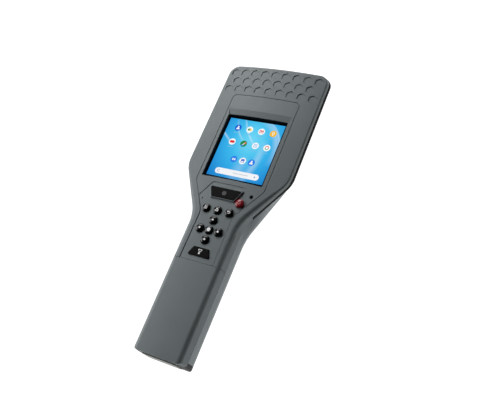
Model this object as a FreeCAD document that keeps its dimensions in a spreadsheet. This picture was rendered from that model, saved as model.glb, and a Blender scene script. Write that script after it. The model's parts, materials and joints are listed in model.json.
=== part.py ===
import FreeCAD, Part
import math
import os
import sys

import Sketcher
from FreeCAD import Placement, Rotation, Vector

# A handheld data collector that lies on its back: +X to its right, +Y towards the head,
# +Z out of the screen. The origin is the middle of the footprint, on the back face.
# All sizes are millimetres.

DIMENSIONS = {
    # overall envelope
    "crown_height": 27.0,
    "crown_radius": 320.0,
    "parting_height": 17.5,
    "wall": 2.2,
    "envelope_low": -160.0,
    "tail_low": -142.0,
    "back_rounding": 8.5,
    "head_rounding": 1.6,
    "handle_rounding": 4.8,
    "rounding_lead": 8.0,
    "zero": 0.0,
    # honeycomb of shallow recesses over the antenna
    "comb_pitch": 10.75,
    "comb_width": 7.5,
    "comb_row_y": 123.1,
    "comb_depth": 0.5,
    # fascia panel
    "fascia_half": 33.8,
    "fascia_top": 107.2,
    "fascia_shoulder": 15.3,
    "fascia_neck": -13.5,
    "fascia_neck_half": 15.7,
    "fascia_bottom": -58.8,
    "fascia_end_half": 16.2,
    "fascia_underside": 23.4,
    "fascia_gap": 0.15,
    "fascia_ledge": 1.2,
    "fascia_ledge_outset": 1.5,
    "fascia_ledge_depth": 2.2,
    "fascia_neck_r": 14.0,
    "fascia_shoulder_r": 7.0,
    "fascia_corner_r": 4.0,
    "window_corner_r": 1.0,
    "window_half": 30.1,
    "window_low": 19.7,
    "window_high": 85.9,
    "ramp_high": 91.6,
    "ramp_high_half": 32.6,
    "ramp_angle": 9.0,
    "ramp_lead": 1.0,
    "edge_chamfer": 0.3,
    "keypad_top": 15.3,
    "keypad_top_half": 15.7,
    "keypad_corner": 0.3,
    "keypad_corner_half": 24.4,
    "keypad_step": 0.4,
    # keys
    "key_cap_r": 3.93,
    "key_hole_r": 4.1,
    "key_flange_r": 4.2,
    "key_base": 22.3,
    "key_flange_top": 23.1,
    "key_edge_top": 27.3,
    "key_dome_top": 28.4,
    "key_shoulder_r": 3.3,
    "key_shoulder_top": 28.0,
    "key_crest_r": 1.8,
    "key_gap": 0.2,
    "key_flange": 0.8,
    "scan_high": 10.4,
    "scan_high_half": 15.2,
    "scan_low": 1.0,
    "scan_low_half": 11.0,
    "scan_top": 28.1,
    "scan_collar": 27.7,
    "scan_collar_rim": 0.6,
    "scan_collar_foot": 1.8,
    "scan_collar_base": 26.1,
    "collar_corner_r": 1.4,
    "wide_hole_r": 1.2,
    "wide_flange_r": 1.6,
    "wide_key_r": 1.0,
    "wide_key_edge_r": 0.45,
    "torch_high": -46.2,
    "torch_high_half": 7.4,
    "torch_low": -54.2,
    "torch_low_half": 10.7,
    "torch_top": 27.3,
    # keypad layers, from the board up
    "key_board_low": 18.4,
    "key_board_high": 19.6,
    "dome_high": 20.1,
    "dome_r": 2.4,
    "membrane_low": 20.2,
    "membrane_high": 21.2,
    "membrane_pad_high": 21.6,
    "membrane_pad_r": 3.0,
    "keypad_stem_half": 13.7,
    "keypad_stem_end": -56.5,
    "keypad_stem_top": -16.0,
    "keypad_wing_half": 21.6,
    "keypad_wing_low": -1.0,
    "keypad_wing_high": 13.5,
    # small front openings
    "sensor_x": 24.6,
    "sensor_y": 8.3,
    "sensor_r": 1.7,
    "mic_x": -19.7,
    "mic_y": -2.2,
    "mic_r": 0.7,
    # bumper round the head
    "bumper_low": 17.0,
    "bumper_high": 19.9,
    "bumper_proud": 0.2,
    "bumper_seat": 1.3,
    "bumper_end": -7.8,
    # frame that lines the window
    "gasket_flange": 0.8,
    "gasket_corner_r": 1.5,
    "gasket_clearance": 0.1,
    "gasket_lip_top": 25.2,
    "gasket_ramp_gap": 0.05,
    "gasket_width": 1.0,
    "gasket_hole_r": 0.6,
    # handle
    "cover_top": -58.95,
    "cover_end": -141.4,
    "cover_lift": 0.1,
    "bay_wall_low": -61.8,
    "bay_wall_high": -58.6,
    "rear_end": -137.0,
    "cap_end": -141.4,
    "cap_root": -131.2,
    "cap_clearance": 0.3,
    "seat_depth": 1.5,
    "port_half": 7.2,
    "port_low": 9.0,
    "port_high": 16.4,
    "door_half": 16.8,
    "door_low": 4.6,
    "door_high": 22.0,
    "door_thick": 1.7,
    "door_corner": 4.5,
    "end_corner": 4.5,
    "door_clearance": 0.35,
    "pin_clearance": 0.08,
    "door_outer": -142.2,
    "pin_r": 0.7,
    "pin_half": 19.5,
    "pin_y": -140.9,
    "pin_z": 5.2,
    "knuckle_r": 1.5,
    "knuckle_half": 13.5,
    "swing_r": 1.95,
    "swing_half": 16.6,
    # seal between the two shells
    "seal_inset": 0.4,
    "seal_width": 0.8,
    "seal_depth": 0.6,
    "seal_bottom": -60.9,
    # shell screws
    "screw_head_r": 2.4,
    "screw_head_low": 0.9,
    "screw_head_high": 2.7,
    "screw_shank_r": 1.2,
    "screw_tip": 13.0,
    "screw_boss_r": 3.2,
    "screw_boss_low": 5.2,
    "screw_clearance": 0.1,
    "screw_slot_length": 3.0,
    "screw_slot_width": 0.6,
    "screw_slot_depth": 0.7,
    # torch in the back of the head
    "torch_lens_y": 122.0,
    "torch_lens_r": 4.0,
    "torch_lens_high": 1.2,
    "torch_seat_r": 4.8,
    "torch_lens_clearance": 0.1,
    # vibration motor
    "motor_r": 5.0,
    "motor_height": 2.8,
    "motor_x": 22.0,
    "motor_y": 18.0,
    "motor_z": 8.0,
    # speaker grille in the back of the neck
    "grille_y": 6.0,
    "grille_pitch": 3.0,
    "grille_r": 0.9,
}

# Horizontal sections of the sharp-edged envelope. Each row gives the section's height and
# its half widths and lengths; the outline between head and handle is one sloping line.
SECTIONS = {
    "front": dict(z=27.0, head=48.9, top=140.1, shoulder=27.2, neck=-18.6, stem=22.1, tail=21.9,
                  corner_r=8.5, shoulder_r=26.0, neck_r=35.0),
    "parting": dict(z=17.5, head=52.4, top=141.8, shoulder=29.9, neck=-15.4, stem=25.3, tail=24.8,
                    corner_r=10.0, shoulder_r=26.0, neck_r=35.0),
    "waist": dict(z=9.7, head=46.5, top=136.5, shoulder=33.0, neck=-23.0, stem=25.7, tail=24.7,
                  corner_r=12.5, shoulder_r=35.0, neck_r=60.0),
    "back": dict(z=0.0, head=42.0, top=132.0, shoulder=30.0, neck=-24.0, stem=24.7, tail=24.0,
                 corner_r=12.0, shoulder_r=35.0, neck_r=60.0),
}

# Round keys: centre (x, y)
ROUND_KEYS = {
    "power_key": (17.0, -0.1),
    "menu_key": (-11.3, -10.6),
    "home_key": (0.0, -10.6),
    "back_key": (11.3, -10.6),
    "up_key": (0.0, -20.2),
    "left_key": (-9.0, -29.6),
    "select_key": (0.0, -29.6),
    "right_key": (9.0, -29.6),
    "down_key": (0.0, -38.8),
}

# Plain blocks: width along X, length along Y, thickness along Z, then the middle in X,
# the lower edge in Y and the underside in Z.
BLOCKS = {
    "display_glass": (62.0, 67.6, 1.1, 0.0, 19.0, 21.2),
    "display_module": (60.6, 64.6, 3.3, 0.0, 20.6, 17.9),
    "display_bracket": (64.6, 72.0, 0.8, 0.0, 17.0, 17.1),
    "main_board": (58.0, 70.0, 1.2, 0.0, 27.5, 12.6),
    "reader_antenna": (84.0, 22.0, 1.0, 0.0, 112.0, 18.6),
    "antenna_spacer": (78.0, 18.0, 1.6, 0.0, 114.0, 16.9),
    "battery_pack": (36.0, 61.6, 16.6, 0.0, -127.5, 3.6),
    "contact_block": (18.0, 2.2, 8.0, 0.0, -64.0, 6.0),
    "port_board": (20.0, 1.0, 12.0, 0.0, -131.1, 6.5),
    "usb_socket": (9.0, 4.2, 3.3, 0.0, -135.4, 10.9),
    "speaker": (17.0, 11.0, 4.0, 0.0, 0.5, 2.3),
    "torch_board": (14.0, 10.0, 0.9, 0.0, 117.0, 3.4),
    "torch_lamp": (3.4, 3.4, 1.1, 0.0, 120.3, 2.3),
    "microphone": (3.0, 3.0, 1.2, -18.9, -3.5, 21.25),
    "light_sensor": (3.0, 3.0, 1.6, 24.6, 6.8, 21.6),
}

# Groups of identical blocks: width, length, thickness and underside of one block.
GROUPED_BLOCKS = {
    "shield_cans": (22.0, 20.0, 2.0, 13.8),
    "spring_contacts": (1.6, 1.4, 3.0, 8.5),
}

# Where each block of a group stands: the middle in X and the lower edge in Y.
GROUP_PLACES = {
    "shield_cans": [(-14.0, 80.0), (14.0, 80.0), (14.0, 55.0)],
    "spring_contacts": [(-5.0, -65.4), (0.0, -65.4), (5.0, -65.4)],
}

SCREWS = [(33.0, 104.0), (-33.0, 104.0), (36.0, 24.0), (-36.0, 24.0), (17.6, -50.0), (-17.6, -50.0)]
COMB_ROWS = [(1, 9), (0, 8), (-1, 9)]
GRILLE_COLUMNS = (-2, -1, 0, 1, 2)
GRILLE_ROWS = (-1, 0, 1)
FAR = 400.0

document = FreeCAD.newDocument("DataCollector")
sheet = document.addObject("Spreadsheet::Sheet", "Dimensions")
parts = []


def fill_sheet():
    """Writes every driving dimension into the sheet, one alias a row."""
    rows = dict(DIMENSIONS)
    for name, values in BLOCKS.items():
        for suffix, value in zip(("width", "length", "thick", "mid", "low", "under"), values):
            rows[f"{name}_{suffix}"] = value
    for name, values in GROUPED_BLOCKS.items():
        for suffix, value in zip(("width", "length", "thick", "under"), values):
            rows[f"{name}_{suffix}"] = value
    for name, (x, y) in ROUND_KEYS.items():
        rows[f"{name}_x"] = x
        rows[f"{name}_y"] = y
    for name, section in SECTIONS.items():
        for suffix, value in section.items():
            rows[f"{name}_section_{suffix}"] = value
    for number, (alias, value) in enumerate(rows.items(), start=1):
        sheet.set(f"A{number}", alias)
        sheet.set(f"B{number}", str(value))
        sheet.setAlias(f"B{number}", alias)
    document.recompute()


def size(alias):
    """The value of one cell of the sheet, by its alias; a leading minus negates it."""
    if alias.startswith("-"):
        return -size(alias[1:])
    return float(sheet.get(alias))


def cell(alias):
    """The expression that reads one cell; a leading minus negates it."""
    if alias.startswith("-"):
        return f"-Dimensions.{alias[1:]}"
    return f"Dimensions.{alias}"


def keep(piece, label):
    """Labels a finished sub-part and lists it for export."""
    piece.Label = label
    parts.append(piece)
    return piece


def shaped(label, shape):
    """A sub-part whose shape is worked out here from the sheet."""
    piece = document.addObject("Part::Feature", label)
    piece.Shape = shape
    piece.Placement = Placement()
    return keep(piece, label)


# ---------------------------------------------------------------- outlines and envelope


def rounded_wire(corners, height):
    """A closed wire through (x, y, radius) corners, each rounded by its tangent arc."""
    edges = []
    ends = []
    for number, (x, y, radius) in enumerate(corners):
        here = Vector(x, y, height)
        before = Vector(corners[number - 1][0], corners[number - 1][1], height)
        after_corner = corners[(number + 1) % len(corners)]
        after = Vector(after_corner[0], after_corner[1], height)
        back = (before - here).normalize()
        ahead = (after - here).normalize()
        if radius == 0:
            ends.append((here, here, None))
            continue
        half_angle = back.getAngle(ahead) / 2
        reach = radius / math.tan(half_angle)
        inward = (back + ahead).normalize()
        middle = here + inward * (radius / math.sin(half_angle) - radius)
        ends.append((here + back * reach, here + ahead * reach, middle))
    for number, (start, end, middle) in enumerate(ends):
        if middle is not None:
            edges.append(Part.Arc(start, middle, end).toShape())
        edges.append(Part.LineSegment(end, ends[(number + 1) % len(ends)][0]).toShape())
    return Part.Wire(edges)


def mirrored(right_side):
    """Corners of a symmetric outline from its right half, listed from the bottom up."""
    return right_side + [(-x, y, radius) for x, y, radius in reversed(right_side)]


def section_at(height):
    """Outline sizes at a height, in line with the two sections round it."""
    names = list(SECTIONS)
    upper, lower = names[0], names[1]
    if height < size("parting_section_z"):
        upper, lower = names[1], names[2]
    if height < size("waist_section_z"):
        upper, lower = names[2], names[3]
    high, low = size(f"{upper}_section_z"), size(f"{lower}_section_z")
    share = (high - height) / (high - low)
    blend = {}
    for key in SECTIONS[upper]:
        first, last = size(f"{upper}_section_{key}"), size(f"{lower}_section_{key}")
        blend[key] = first + (last - first) * share
    return blend


def outline(section, inset, bottom, end_radius=0):
    """Corners of a section's outline, moved inwards by inset and closed at bottom."""
    slope = math.atan2(section["head"] - section["stem"], section["shoulder"] - section["neck"])
    lean = math.tan(slope / 2) * inset
    tail_share = (section["neck"] - bottom) / (section["neck"] - size("tail_low"))
    tail = section["stem"] + (section["tail"] - section["stem"]) * tail_share
    return mirrored([
        (tail - inset, bottom, end_radius),
        (section["stem"] - inset, section["neck"] + lean, section["neck_r"] + inset),
        (section["head"] - inset, section["shoulder"] + lean, section["shoulder_r"] - inset),
        (section["head"] - inset, section["top"] - inset, section["corner_r"] - inset),
    ])


def prism(corners, low, high):
    """A straight solid on an outline between two heights."""
    face = Part.Face(rounded_wire(corners, low))
    return face.extrude(Vector(0, 0, high - low))


def layer(low, high):
    """Everything between two heights."""
    return Part.makeBox(2 * FAR, 2 * FAR, high - low, Vector(-FAR, -FAR, low))


def stretch(low, high):
    """Everything between two positions along the length."""
    return Part.makeBox(2 * FAR, high - low, 2 * FAR, Vector(-FAR, low, -FAR))


def post(x, y, low, high, radius):
    """An upright cylinder between two heights."""
    return Part.makeCylinder(radius, high - low, Vector(x, y, low))


def crown(drop=0.0):
    """The long cylinder whose top is the crowned front face, lowered by drop."""
    radius = size("crown_radius") - drop
    centre = size("crown_height") - size("crown_radius")
    return Part.makeCylinder(radius, 2 * FAR, Vector(0, -FAR, centre), Vector(0, 1, 0))


def on_crown(point, drop):
    """Whether a point lies on the crowned face."""
    radius = size("crown_radius") - drop
    centre = size("crown_height") - size("crown_radius")
    return abs(math.hypot(point.x, point.z - centre) - radius) < 0.05


def edge_middle(edge):
    """The point half-way along an edge's parameter range."""
    return edge.valueAt((edge.FirstParameter + edge.LastParameter) / 2)


def front_radius(point):
    """Rounding of the front edge: small round the head, growing through the neck to the handle."""
    start = size("front_section_shoulder") + size("rounding_lead")
    end = size("front_section_neck") + size("rounding_lead")
    share = min(1.0, max(0.0, (start - point.y) / (start - end)))
    return size("head_rounding") + (size("handle_rounding") - size("head_rounding")) * share


def rounded(label, solid, radii):
    """A Part fillet of a solid, radii being (edge number, start radius, end radius)."""
    base = document.addObject("Part::Feature", f"{label}_sharp")
    base.Shape = solid
    fillet = document.addObject("Part::Fillet", label)
    fillet.Base = base
    fillet.Edges = radii
    document.recompute()
    return fillet.Shape


def envelope(label, inset):
    """The whole outer form, or the cavity inset from it, with its long edges rounded.

    It runs past the real lower end, so that the roundings leave it cleanly.
    """
    bottom = size("envelope_low")
    floor = max(inset, 0.0)
    heights = [size(f"{name}_section_z") for name in SECTIONS]
    heights[-1] = floor
    wires = [rounded_wire(outline(section_at(z), inset, bottom), z) for z in heights]
    solids = [Part.makeLoft(list(pair), True, True) for pair in zip(wires, wires[1:])]
    body = solids[0].fuse(solids[1:]).removeSplitter().common(crown(inset))
    front, back = [], []
    for number, edge in enumerate(body.Edges, start=1):
        middle = edge_middle(edge)
        tips = [vertex.Point for vertex in edge.Vertexes]
        if middle.y < bottom + 0.1 or len(tips) < 2:
            continue
        along_seam = abs(tips[0].x) < 0.01 and abs(tips[1].x) < 0.01
        if all(on_crown(point, inset) for point in tips + [middle]) and not along_seam:
            start, end = edge.valueAt(edge.FirstParameter), edge.valueAt(edge.LastParameter)
            front.append((number, front_radius(start), front_radius(end)))
        if all(abs(point.z - floor) < 0.01 for point in tips + [middle]):
            radius = size("back_rounding") - inset
            back.append((number, radius, radius))
    if inset > 0:
        return rounded(f"{label}_back", body, back)
    body = rounded(f"{label}_front", body, front)
    back = []
    for number, edge in enumerate(body.Edges, start=1):
        points = [vertex.Point for vertex in edge.Vertexes] + [edge_middle(edge)]
        if all(abs(point.z) < 0.01 for point in points) and edge_middle(edge).y > bottom + 0.1:
            back.append((number, size("back_rounding"), size("back_rounding")))
    return rounded(f"{label}_back", body, back)


# ------------------------------------------------------------------- the moulded shells


def fascia_corners(inset):
    """Outline of the fascia panel, moved inwards by inset."""
    half, stem = size("fascia_half"), size("fascia_neck_half")
    shoulder, neck = size("fascia_shoulder"), size("fascia_neck")
    slope = math.atan2(half - stem, shoulder - neck)
    lean = math.tan(slope / 2) * inset
    return mirrored([
        (size("fascia_end_half") - inset, size("fascia_bottom") + inset, 0),
        (stem - inset, neck + lean, size("fascia_neck_r") + inset),
        (half - inset, shoulder + lean, size("fascia_shoulder_r") - inset),
        (half - inset, size("fascia_top") - inset, size("fascia_corner_r") - inset),
    ])


def trapezoid(name, outset, corner_radius):
    """Outline of one of the two wide keys, moved outwards by outset."""
    high, low = size(f"{name}_high"), size(f"{name}_low")
    high_half, low_half = size(f"{name}_high_half"), size(f"{name}_low_half")
    slope = math.atan2(high_half - low_half, high - low)
    side = outset / math.cos(slope)
    grow = outset * math.tan(slope)
    return [
        (low_half + side - grow, low - outset, corner_radius),
        (high_half + side + grow, high + outset, corner_radius),
        (-high_half - side - grow, high + outset, corner_radius),
        (-low_half - side + grow, low - outset, corner_radius),
    ]


def crest_edges(solid, corners):
    """Edges where the wall on an outline meets the crowned face or the lower keypad field."""
    found = []
    for edge in solid.Edges:
        points = [vertex.Point for vertex in edge.Vertexes] + [edge_middle(edge)]
        drops = (0.0, size("keypad_step"))
        crowned = any(all(on_crown(point, drop) for point in points) for drop in drops)
        wire = rounded_wire(corners, points[-1].z)
        if crowned and wire.distToShape(Part.Vertex(points[-1]))[0] < 0.05:
            found.append(edge)
    return found


def hexagon(x, y, width, height):
    """A hexagon with two of its corners on the Y direction."""
    reach = width / math.sqrt(3)
    angles = [math.radians(30 + 60 * turn) for turn in range(6)]
    points = [Vector(x + reach * math.cos(a), y + reach * math.sin(a), height) for a in angles]
    return Part.makePolygon(points + points[:1])


def comb_cutters():
    """Tapered hexagonal cutters whose floors follow the crowned face."""
    pitch, width = size("comb_pitch"), size("comb_width")
    cutters = []
    for row, count in COMB_ROWS:
        for column in range(count):
            x = (column - (count - 1) / 2) * pitch
            y = size("comb_row_y") + row * pitch * math.sqrt(3) / 2
            top = size("crown_height") + 1
            low = top - 6
            wires = [hexagon(x, y, width, low), hexagon(x, y, width, top)]
            cutters.append(Part.makeLoft(wires, True, True))
    return Part.makeCompound(cutters).cut(crown(size("comb_depth")))


def end_trim():
    """Form a little larger than the envelope, whose lower end has rounded corners."""
    bottom, radius = size("cap_end"), size("end_corner")
    wires = []
    for name in SECTIONS:
        height = size(f"{name}_section_z")
        reach = {"front": height + 1, "back": height - 1}.get(name, height)
        wires.append(rounded_wire(outline(section_at(height), -0.4, bottom, radius), reach))
    solids = [Part.makeLoft(list(pair), True, True) for pair in zip(wires, wires[1:])]
    return solids[0].fuse(solids[1:])


def bumper_band(inset, low, high):
    """A band round the head that follows the side wall, moved inwards by inset."""
    slope = (size("parting_section_head") - size("front_section_head"))
    slope /= size("front_section_z") - size("parting_section_z")
    wires = []
    for height in (low, high):
        drop = (size("parting_section_z") - height) * slope
        section = section_at(size("parting_section_z"))
        wires.append(rounded_wire(outline(section, inset - drop, size("envelope_low")), height))
    band = Part.makeLoft(wires, True, True)
    return band.common(stretch(size("bumper_end"), FAR))


def make_bumper():
    """The rubber band round the head, seated in a groove across the parting line."""
    low, high = size("bumper_low"), size("bumper_high")
    outer = bumper_band(-size("bumper_proud"), low, high)
    seat = bumper_band(size("bumper_seat"), low - 1, high + 1)
    return outer.cut(seat)


def make_front_shell(outer, inner, bumper):
    """Upper shell: crowned face, side walls down to the parting line, ledge for the fascia."""
    parting, top = size("parting_height"), size("crown_height") + 5
    shell = outer.cut(inner).common(layer(parting, top)).common(stretch(size("fascia_bottom"), FAR))
    ledge_low = size("fascia_underside") - size("fascia_ledge_depth")
    ledge = prism(fascia_corners(-size("fascia_ledge_outset")), ledge_low, top)
    ledge = ledge.common(outer).common(stretch(size("fascia_bottom"), FAR))
    towers = [post(x, y, size("screw_boss_low"), top, size("screw_boss_r")) for x, y in SCREWS]
    towers = Part.makeCompound(towers).common(inner)
    shell = shell.fuse([ledge, towers])
    ledge_width = size("fascia_ledge")
    opening = prism(fascia_corners(ledge_width), 0, top)
    opening = opening.common(stretch(size("fascia_bottom") + ledge_width, FAR))
    pocket = prism(fascia_corners(-size("fascia_gap")), size("fascia_underside"), top)
    shell = shell.cut([opening, pocket])
    rim = crest_edges(shell, fascia_corners(-size("fascia_gap")))
    shell = shell.makeChamfer(size("edge_chamfer"), rim).cut([comb_cutters(), bumper])
    pilots = [post(x, y, 0, size("screw_tip"), size("screw_shank_r")) for x, y in SCREWS]
    return shell.cut(pilots)


def make_rear_shell(outer, inner, bumper, seal):
    """Lower shell: back, side walls up to the parting line and the battery bay's end wall."""
    parting = size("parting_height")
    lower = layer(-5, parting).common(stretch(size("rear_end"), FAR))
    shell = outer.cut(inner).common(lower)
    bay_wall = inner.common(stretch(size("bay_wall_low"), size("bay_wall_high"))).common(layer(0, parting))
    towers = [post(x, y, 0, size("screw_boss_low"), size("screw_boss_r")) for x, y in SCREWS]
    towers = Part.makeCompound(towers).common(outer)
    shell = shell.fuse([bay_wall, towers])
    cuts = [bumper, seal]
    for x, y in SCREWS:
        cuts.append(post(x, y, -1, size("screw_head_high"), size("screw_head_r")))
        cuts.append(post(x, y, 0, size("screw_boss_low") + 1, size("screw_shank_r")))
    lens_y = size("torch_lens_y")
    cuts.append(post(0, lens_y, -1, size("torch_lens_high"), size("torch_seat_r")))
    cuts.append(post(0, lens_y, 0, size("wall") + 1, size("torch_lens_r")))
    pitch = size("grille_pitch")
    for column in GRILLE_COLUMNS:
        for row in GRILLE_ROWS:
            x, y = column * pitch, size("grille_y") + row * pitch
            cuts.append(post(x, y, -1, size("wall") + 1, size("grille_r")))
    return shell.cut(cuts)


def make_battery_cover(outer, inner):
    """Front of the handle, from the fascia's lower end to the end cap."""
    low, top = size("parting_height") + size("cover_lift"), size("cover_top")
    block = outer.common(layer(low, FAR)).common(stretch(size("cover_end"), top))
    end = [edge for edge in block.Edges if abs(edge_middle(edge).y - top) < 0.01]
    rim = [edge for edge in end if edge_middle(edge).z > low + 0.1]
    return block.makeChamfer(size("edge_chamfer"), rim).cut(inner)


def make_seal():
    """Flat gasket that runs round the electronics bay between the two shells."""
    section = section_at(size("parting_section_z"))
    bottom = size("seal_bottom")
    low, high = size("parting_height") - size("seal_depth"), size("parting_height")
    outer_inset = size("bumper_seat") + size("seal_inset")
    inner_inset = outer_inset + size("seal_width")
    ring = prism(outline(section, outer_inset, bottom), low, high)
    hole = prism(outline(section, inner_inset, bottom + size("seal_width")), low - 1, high + 1)
    return ring.cut(hole)


def make_fascia():
    """Panel round the screen and the keys, with chamfered edges, a ramp and a collar."""
    underside, top = size("fascia_underside"), size("crown_height") + 5
    panel = prism(fascia_corners(0.0), underside, top).common(crown(0.0))
    keypad = Part.makePolygon([Vector(x, y, underside) for x, y in keypad_outline()])
    field = Part.Face(keypad).extrude(Vector(0, 0, top - underside)).cut(crown(size("keypad_step")))
    window = rectangle(size("window_half"), size("window_low"), size("window_high"), size("window_corner_r"))
    panel = panel.cut([field, prism(window, underside - 1, top)])
    rim = crest_edges(panel, fascia_corners(0.0)) + crest_edges(panel, window)
    panel = panel.makeChamfer(size("edge_chamfer"), rim).cut(ramp_cutter(0.0))
    panel = panel.fuse(make_collar())
    holes = [post(x, y, underside - 1, top, size("key_hole_r")) for x, y in ROUND_KEYS.values()]
    for name in ("scan", "torch"):
        hole = trapezoid(name, size("key_gap"), size("wide_hole_r"))
        holes.append(prism(hole, underside - 1, top))
    for name in ("sensor", "mic"):
        x, y, radius = (size(f"{name}_{part}") for part in ("x", "y", "r"))
        holes.append(post(x, y, underside - 1, top, radius))
    return panel.cut(holes)


def ramp_cutter(sink):
    """What lies over the ramp above the window: a crown tipped about the ramp's upper edge."""
    lead = size("ramp_lead")
    low, high = size("window_high") - lead, size("ramp_high") + lead
    half, high_half = size("window_half"), size("ramp_high_half")
    plan = [(half, low), (high_half, high), (-high_half, high), (-half, low), (half, low)]
    plan = Part.makePolygon([Vector(x, y, size("key_base")) for x, y in plan])
    tipped = crown(sink)
    hinge = Vector(0, size("ramp_high"), size("crown_height"))
    tipped.rotate(hinge, Vector(1, 0, 0), size("ramp_angle"))
    return Part.Face(plan).extrude(Vector(0, 0, size("crown_height"))).cut(tipped)


def keypad_outline():
    """The keypad field is cut a step lower than the screen's frame."""
    high, corner = size("keypad_top"), size("keypad_corner")
    top_half, corner_half = size("keypad_top_half"), size("keypad_corner_half")
    low = size("fascia_bottom") - 5
    right = [(corner_half, low), (corner_half, corner), (top_half, high)]
    left = [(-x, y) for x, y in reversed(right)]
    return right + left + right[:1]


def rectangle(half, low, high, radius):
    """Corners of a rectangle about the middle line, all with one radius."""
    return mirrored([(half, low, radius), (half, high, radius)])


def make_collar():
    """Bevelled collar that stands round the scan key."""
    base, radius = size("scan_collar_base"), size("collar_corner_r")
    foot = trapezoid("scan", size("scan_collar_foot"), radius)
    rim = trapezoid("scan", size("scan_collar_rim"), radius)
    wires = [rounded_wire(foot, base), rounded_wire(rim, size("scan_collar"))]
    bevel = Part.makeLoft(wires, True, True)
    return bevel.fuse(prism(foot, size("fascia_underside"), base))


def make_display_gasket():
    """Black frame that lines the window and lies on the glass."""
    glass, underside = size("key_base"), size("fascia_underside")
    half, low, high = size("window_half"), size("window_low"), size("window_high")

    def frame(outset, radius):
        return rectangle(half + outset, low - outset, high + outset, radius)

    flange = prism(frame(size("gasket_flange"), size("gasket_corner_r")), glass, underside)
    lip = frame(-size("gasket_clearance"), size("window_corner_r"))
    lip = prism(lip, glass, size("gasket_lip_top")).cut(ramp_cutter(size("gasket_ramp_gap")))
    hole = prism(frame(-size("gasket_width"), size("gasket_hole_r")), glass - 1, underside + FAR)
    return flange.fuse(lip).cut(hole)


# -------------------------------------------------------------------------- the keypad


def origin_plane(body, role):
    """One of a body's own origin planes."""
    return next(plane for plane in body.Origin.OriginFeatures if plane.Role == role)


def sketch_polygon(body, name, role, corners):
    """A closed sketch on one of the body's origin planes; corners are pairs of cell aliases."""
    sketch = body.newObject("Sketcher::SketchObject", name)
    sketch.AttachmentSupport = (origin_plane(body, role), [""])
    sketch.MapMode = "FlatFace"
    points = [Vector(size(x), size(y), 0) for x, y in corners]
    count = len(points)
    for number in range(count):
        sketch.addGeometry(Part.LineSegment(points[number], points[(number + 1) % count]), False)
    for number in range(count):
        sketch.addConstraint(Sketcher.Constraint("Coincident", number, 2, (number + 1) % count, 1))
    for number, pair in enumerate(corners):
        for kind, alias in zip(("DistanceX", "DistanceY"), pair):
            constraint = Sketcher.Constraint(kind, -1, 1, number, 1, size(alias))
            index = sketch.addConstraint(constraint)
            sketch.setExpression(f"Constraints[{index}]", cell(alias))
    return sketch


def make_round_key(label):
    """A domed round key with a flange that holds it under the fascia."""
    body = document.addObject("PartDesign::Body", label)
    profile = sketch_polygon(body, f"{label}_profile", "XZ_Plane", [
        ("zero", "key_base"),
        ("key_flange_r", "key_base"),
        ("key_flange_r", "key_flange_top"),
        ("key_cap_r", "key_flange_top"),
        ("key_cap_r", "key_edge_top"),
        ("key_shoulder_r", "key_shoulder_top"),
        ("key_crest_r", "key_dome_top"),
        ("zero", "key_dome_top"),
    ])
    turn = body.newObject("PartDesign::Revolution", f"{label}_turn")
    turn.Profile = profile
    turn.ReferenceAxis = (profile, ["V_Axis"])
    turn.Angle = 360
    document.recompute()
    body.setExpression("Placement.Base.x", cell(f"{label}_x"))
    body.setExpression("Placement.Base.y", cell(f"{label}_y"))
    return keep(body, label)


def make_wide_key(label, name):
    """A flat trapezoid key with softened edges and a flange below the fascia."""
    base, top = size("key_base"), size(f"{name}_top")
    flange = trapezoid(name, size("key_flange"), size("wide_flange_r"))
    flange = prism(flange, base, size("key_flange_top"))
    cap = prism(trapezoid(name, 0.0, size("wide_key_r")), base, top)
    crest = [edge for edge in cap.Edges if abs(edge_middle(edge).z - top) < 0.01]
    return shaped(label, flange.fuse(cap.makeFillet(size("wide_key_edge_r"), crest)))


def pad(label, corners, low, high):
    """A PartDesign pad of a polygon between two heights of the sheet."""
    body = document.addObject("PartDesign::Body", label)
    sketch = sketch_polygon(body, f"{label}_outline", "XY_Plane", corners)
    sketch.setExpression("AttachmentOffset.Base.z", cell(low))
    feature = body.newObject("PartDesign::Pad", f"{label}_pad")
    feature.Profile = sketch
    feature.setExpression("Length", f"{cell(high)} - {cell(low)}")
    document.recompute()
    return body


def keypad_corners():
    """Outline shared by the keypad's board and membrane: a narrow stem and two wings."""
    right = [
        ("keypad_stem_half", "keypad_stem_end"),
        ("keypad_stem_half", "keypad_stem_top"),
        ("keypad_wing_half", "keypad_wing_low"),
        ("keypad_wing_half", "keypad_wing_high"),
    ]
    return right + [(f"-{x}", y) for x, y in reversed(right)]


def key_centres():
    """Where each key presses: the round keys and the middles of the two wide ones."""
    wide = [(0.0, (size(f"{name}_high") + size(f"{name}_low")) / 2) for name in ("scan", "torch")]
    return list(ROUND_KEYS.values()) + wide


def make_keypad():
    """Switch board, its domes and the rubber mat with a pad under each key."""
    keep(pad("keypad_board", keypad_corners(), "key_board_low", "key_board_high"), "keypad_board")
    board, mat_low = size("key_board_high"), size("membrane_low")
    domes = [post(x, y, board, size("dome_high"), size("dome_r")) for x, y in key_centres()]
    shaped("dome_switches", Part.makeCompound(domes))
    mat = pad("membrane_mat", keypad_corners(), "membrane_low", "membrane_high").Shape
    top, radius = size("membrane_pad_high"), size("membrane_pad_r")
    pads = [post(x, y, mat_low, top, radius) for x, y in key_centres()]
    shaped("keypad_membrane", mat.fuse(pads))


# ------------------------------------------------------------------ blocks and hardware


def make_block(name):
    """A plain block bound to its own cells of the sheet."""
    block = document.addObject("Part::Box", name)
    for axis, suffix in (("Length", "width"), ("Width", "length"), ("Height", "thick")):
        block.setExpression(axis, cell(f"{name}_{suffix}"))
    block.setExpression("Placement.Base.x", f"{cell(name + '_mid')} - {cell(name + '_width')} / 2")
    block.setExpression("Placement.Base.y", cell(f"{name}_low"))
    block.setExpression("Placement.Base.z", cell(f"{name}_under"))
    return keep(block, name)


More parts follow.
